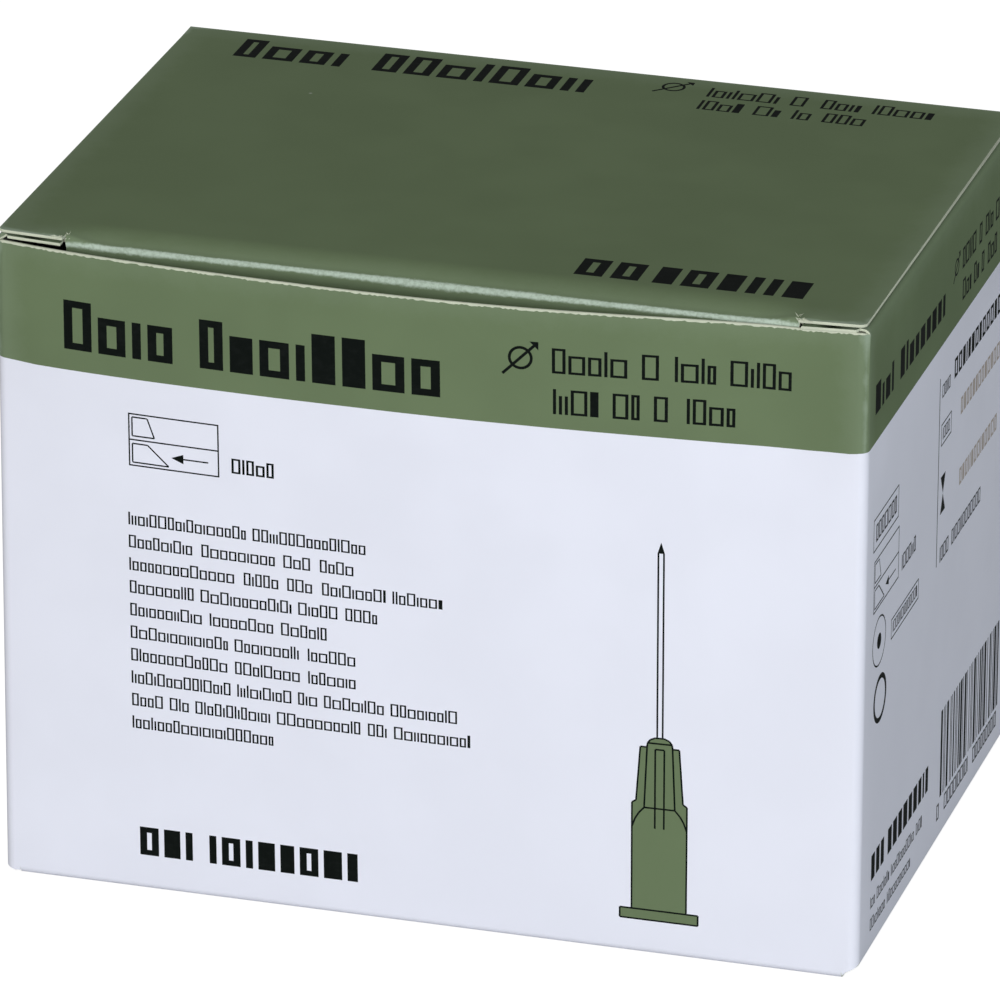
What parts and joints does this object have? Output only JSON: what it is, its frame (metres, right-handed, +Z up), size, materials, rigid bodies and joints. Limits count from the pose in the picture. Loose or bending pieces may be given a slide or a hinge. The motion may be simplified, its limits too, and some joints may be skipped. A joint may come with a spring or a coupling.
{
  "type": "folding carton of hypodermic needles",
  "caption": "Folding board carton with a hinged tuck lid, filled with rows of peel-packed hypodermic needles standing on end.",
  "frame": {"origin": "middle of the bounding box, on the surface that the carton stands on", "axes": "+Z up, +X along the width with the front panel facing -Y, +Y from front to back"},
  "size_m": [0.097, 0.0702, 0.076],
  "materials": {
    "printed_board": "satin coated board with an olive band and dark print",
    "olive_board": "satin coated board printed olive, raw cream edges",
    "peel_pack": "white sealing paper with a clear formed film"
  },
  "bodies": {
    "carton": {"carton_body": "printed_board", "needle_packs_row_01": "peel_pack", "needle_packs_row_02": "peel_pack", "needle_packs_row_03": "peel_pack", "needle_packs_row_04": "peel_pack", "needle_packs_row_05": "peel_pack", "needle_packs_row_06": "peel_pack", "needle_packs_row_07": "peel_pack", "needle_packs_row_08": "peel_pack", "needle_packs_row_09": "peel_pack", "needle_packs_row_10": "peel_pack", "needle_packs_row_11": "peel_pack", "needle_packs_row_12": "peel_pack", "needle_packs_row_13": "peel_pack", "needle_packs_row_14": "peel_pack", "needle_packs_row_15": "peel_pack", "needle_packs_row_16": "peel_pack", "needle_packs_row_17": "peel_pack", "needle_packs_row_18": "peel_pack", "needle_packs_row_19": "peel_pack", "needle_packs_row_20": "peel_pack"},
    "lid": {"lid": "olive_board"}
  },
  "joints": [
    {"name": "lid_hinge", "type": "hinge", "parent": "carton", "child": "lid", "pos_m": [0, 0.03488, 0.07577], "axis": [-1, 0, 0], "range_deg": [0, 180]}
  ]
}
